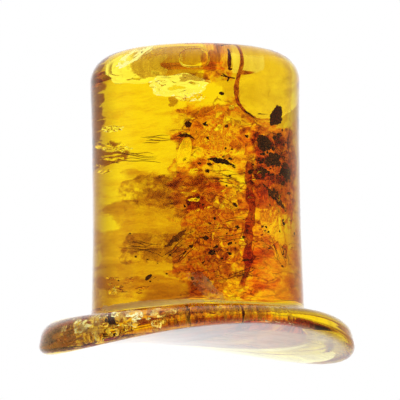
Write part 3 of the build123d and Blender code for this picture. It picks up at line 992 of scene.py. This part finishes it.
def brim_flow(name, start, end, inset, ripple, material, seed):
    """A standing curtain of denser resin inside the brim, rippled along it like drawn toffee."""
    columns, rows = 260, 6
    points = []
    for side in (1, -1):
        for row in range(rows + 1):
            for column in range(columns + 1):
                share, lift = column / columns, 2 * row / rows - 1
                angle = radians(start + share * (end - start) + 2.0 * lift * lift)
                reach = oval_reach(angle, BRIM_TOP / 2) - inset
                x, y = reach * cos(angle), reach * sin(angle)
                low, high = base_height(x, y) + 0.3, top_height(y) - 0.35
                wave = noise.fractal(Vector((60 * angle * ripple, seed, 0.3 * lift)), 1.0, 2.0, 2)
                closing = sqrt(max(0.0, 1 - lift * lift)) * sin(pi * share) ** 0.3
                thick = side * closing * (0.14 + 0.11 * wave)
                out = Vector((x, y, 0)).normalized()
                points.append(Vector((x, y, (low + high) / 2 + lift * (high - low) / 2)) + out * thick)
    faces = []
    count = (rows + 1) * (columns + 1)
    for face in grid_faces(columns, rows):
        faces += [face, tuple(count + i for i in reversed(face))]
    mesh = bmesh.new()
    corners = [mesh.verts.new(p) for p in points]
    for face in faces:
        mesh.faces.new([corners[i] for i in face])
    bmesh.ops.remove_doubles(mesh, verts=mesh.verts, dist=1e-5)
    bmesh.ops.recalc_face_normals(mesh, faces=mesh.faces)
    mesh.verts.index_update()
    points = [v.co.copy() for v in mesh.verts]
    faces = [tuple(v.index for v in face.verts) for face in mesh.faces]
    mesh.free()
    return make_piece(name, points, faces, material)


brim_flow("brim_flow_middle", 226, 300, 0.8, 0.5, FLOW_GLASS, 41)
for name, spot, width, tall, gap, crinkle, wave, uneven, material, seed in FLOWS:
    shape = (width, tall, gap, crinkle, wave, seed)
    points, faces = crack(place(*spot), TO_RIGHT, UP, *shape, rings=40, spokes=90, uneven=uneven)
    make_piece(name, points, [tuple(reversed(face)) for face in faces], material)

# ---- studio ----
# How bright the surround is from each direction, and how much of it the amber's surface and its
# inner faces mirror back. The sides are brownish, like the dark cards round a product table.
BACK_LIGHT = 1.12
TOP_LIGHT = 1.25
FRONT_LIGHT = 0.8
FRONT_GLOSS = 0.25
FRONT_SHEEN = 0.3
SIDE_SHEEN = (0.75, 0.58, 0.42)
SIDE_TINT = (0.5, 0.38, 0.3)
FLOOR_REACH = 0.5  # metres


def studio_world():
    """A soft white surround: bright behind and above the carving, dimmer at its sides and in front.
    The camera itself sees plain white."""
    world = bpy.data.worlds.new("studio")
    world.use_nodes = True
    tree = world.node_tree
    tree.nodes.clear()
    direction = node(tree, "TexCoord", out="Generated")

    def along(axis):
        return node(tree, "VectorMath", {0: direction, 1: axis}, "Value", operation="DOT_PRODUCT")

    back = node(tree, "MapRange", {0: along(AWAY), 1: -1.0, 2: 1.0, 3: 0.0, 4: 1.0})
    sideways = maths(tree, "ABSOLUTE", along(TO_RIGHT))
    level = ramp(
        tree, back, (0.0, FRONT_LIGHT), (0.45, TOP_LIGHT), (0.62, BACK_LIGHT),
        (1.0, BACK_LIGHT),
    )
    dimming = ramp(tree, sideways, (0.6, 1), (0.9, SIDE_TINT))
    glossy = node(tree, "LightPath", out="Is Glossy Ray")
    mirrored = ramp(tree, back, (0.0, FRONT_GLOSS), (0.4, 1))
    gloss = tinted(tree, glossy, mirrored)
    front_sheen = ramp(tree, back, (0.0, FRONT_SHEEN), (0.4, 1))
    side_sheen = ramp(tree, sideways, (0.3, 1), (0.6, SIDE_SHEEN))
    mirror = maths(tree, "MULTIPLY", node(tree, "LightPath", out="Is Reflection Ray"), glossy)
    outside = tinted(tree, mirror, multiply(tree, front_sheen, side_sheen))
    strength = multiply(tree, multiply(tree, multiply(tree, level, dimming), gloss), outside)
    lit = node(tree, "Background", {"Color": strength})
    plain = node(tree, "Background", {"Color": WHITE})
    seen = node(tree, "LightPath", out="Is Camera Ray")
    node(tree, "OutputWorld", {"Surface": node(tree, "MixShader", {0: seen, 1: lit, 2: plain})})
    scene.world = world


def floor():
    """A pale floor at the carving's feet. It is one-sided, so a camera below its level looks past it."""
    material, tree = new_material("floor")
    pale = node(tree, "BsdfDiffuse", {"Color": (0.9, 0.9, 0.9, 1)})
    clear = node(tree, "BsdfTransparent")
    below = node(tree, "NewGeometry", out="Backfacing")
    node(tree, "OutputMaterial", {"Surface": node(tree, "MixShader", {0: below, 1: pale, 2: clear})})
    mesh = bpy.data.meshes.new("floor")
    corners = [(FLOOR_REACH * x, FLOOR_REACH * y, 0) for x, y in ((-1, -1), (1, -1), (1, 1), (-1, 1))]
    mesh.from_pydata(corners, [], [(0, 1, 2, 3)])
    mesh.materials.append(material)
    plane = bpy.data.objects.new("floor", mesh)
    scene.collection.objects.link(plane)
    plane.location.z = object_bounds()[0].z
    plane.visible_glossy = False
    plane.visible_transmission = False
    plane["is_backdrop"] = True


def camera():
    """From the photograph's viewing angle: the best side, from a little below the crown's middle."""
    elevation, roll = radians(-7.49), radians(-0.79)
    distance, lens = 249.6, 288.0
    half_crown, right_of_middle, below_middle = 10.14, 0.278, 0.541
    view = AWAY * cos(elevation) - UP * sin(elevation)
    above = AWAY * sin(elevation) + UP * cos(elevation)
    aim = UP * (BRIM_TOP + half_crown) + TO_RIGHT * right_of_middle - above * below_middle
    data = bpy.data.cameras.new("camera")
    data.lens = lens
    data.clip_start, data.clip_end = 0.01, 10
    seen_by = bpy.data.objects.new("camera", data)
    scene.collection.objects.link(seen_by)
    axes = Matrix((TO_RIGHT, above, -view)).transposed().to_4x4()
    spot = Matrix.Translation((aim - view * distance) * MM)
    seen_by.matrix_world = spot @ axes @ Matrix.Rotation(roll, 4, "Z")
    scene.camera = seen_by


studio_world()
floor()
camera()

scene.view_settings.view_transform = "Standard"
scene.cycles.max_bounces = 32
scene.cycles.transmission_bounces = 28
scene.cycles.glossy_bounces = 16
scene.cycles.transparent_max_bounces = 32
